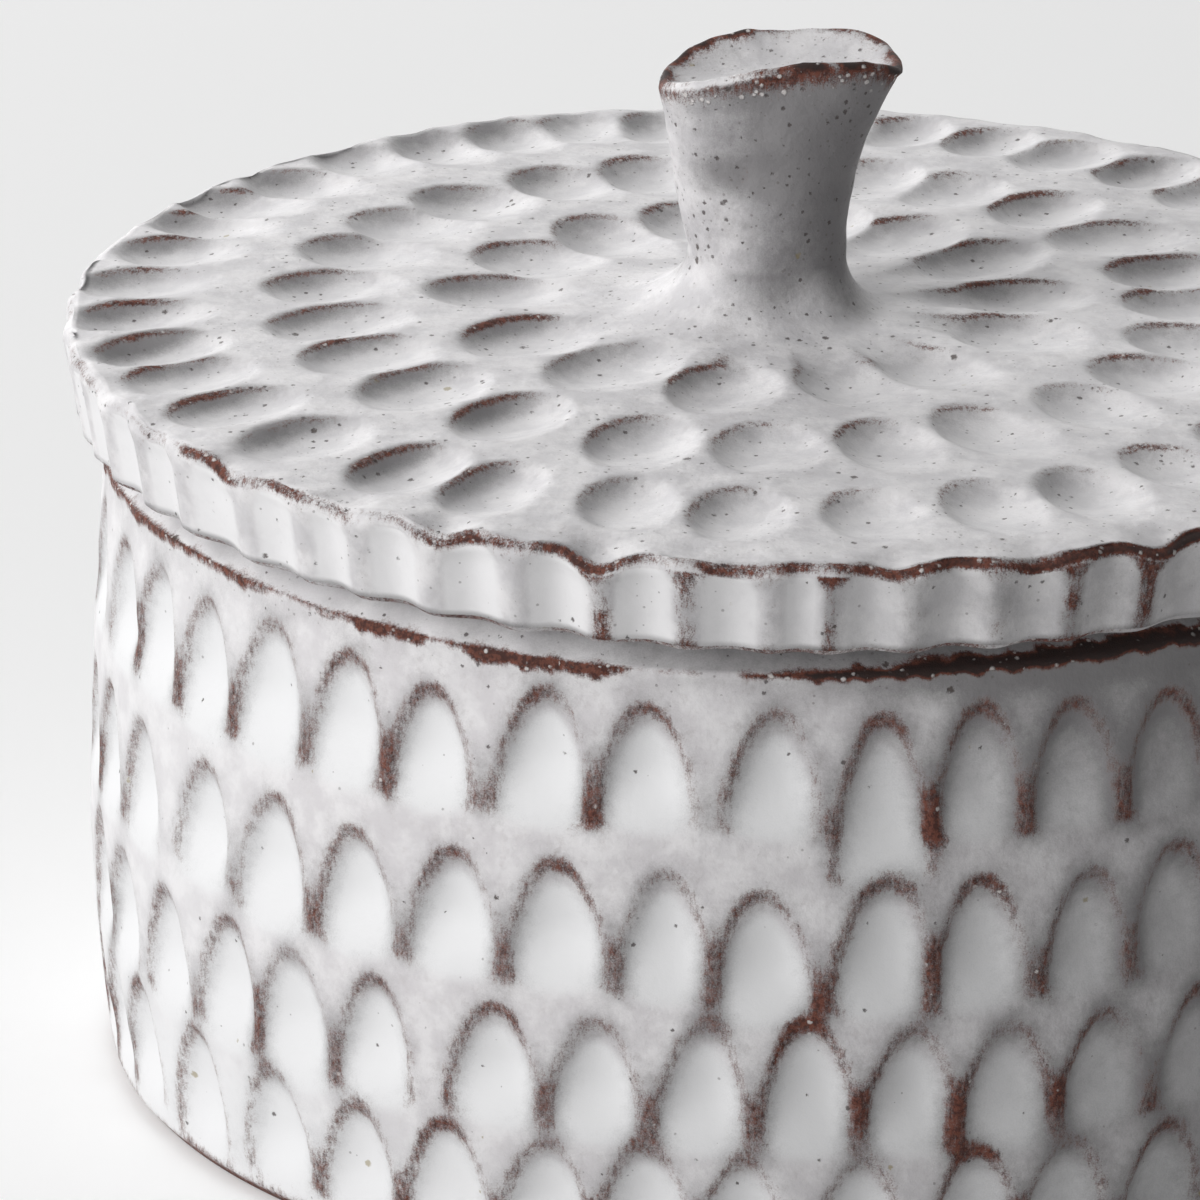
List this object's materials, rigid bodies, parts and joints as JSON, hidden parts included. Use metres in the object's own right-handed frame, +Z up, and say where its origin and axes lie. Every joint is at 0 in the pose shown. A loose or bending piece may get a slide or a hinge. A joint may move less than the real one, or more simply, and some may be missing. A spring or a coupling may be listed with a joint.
{
  "type": "lidded ceramic box",
  "caption": "Round lidded stoneware box with scooped cuts all over, a loose fluted lid and a pinched knob, for small dry things.",
  "frame": {"origin": "centre of the overall footprint, at the level of the foot ring that the pot stands on", "axes": "+Z up through the lid; -Y is the side the picture looks at; +X points to its right, where the knob's lip is pulled out"},
  "size_m": [0.1498, 0.1498, 0.1104],
  "materials": {
    "pot_glaze": "white glaze, semi-gloss, thin and brown on every edge",
    "lid_glaze": "white glaze with iron specks, semi-gloss, brown on every edge",
    "bare_clay": "bare reddish-brown stoneware, matt"
  },
  "bodies": {
    "pot": {"pot_wall": "pot_glaze", "floor_slab": "pot_glaze"},
    "lid": {"lid_plate": "lid_glaze", "locating_ring": "bare_clay", "knob": "lid_glaze"}
  },
  "joints": [
    {"name": "lid_lift", "type": "slide", "parent": "pot", "child": "lid", "axis": [0, 0, 1], "range_m": [0, 0.08]}
  ]
}
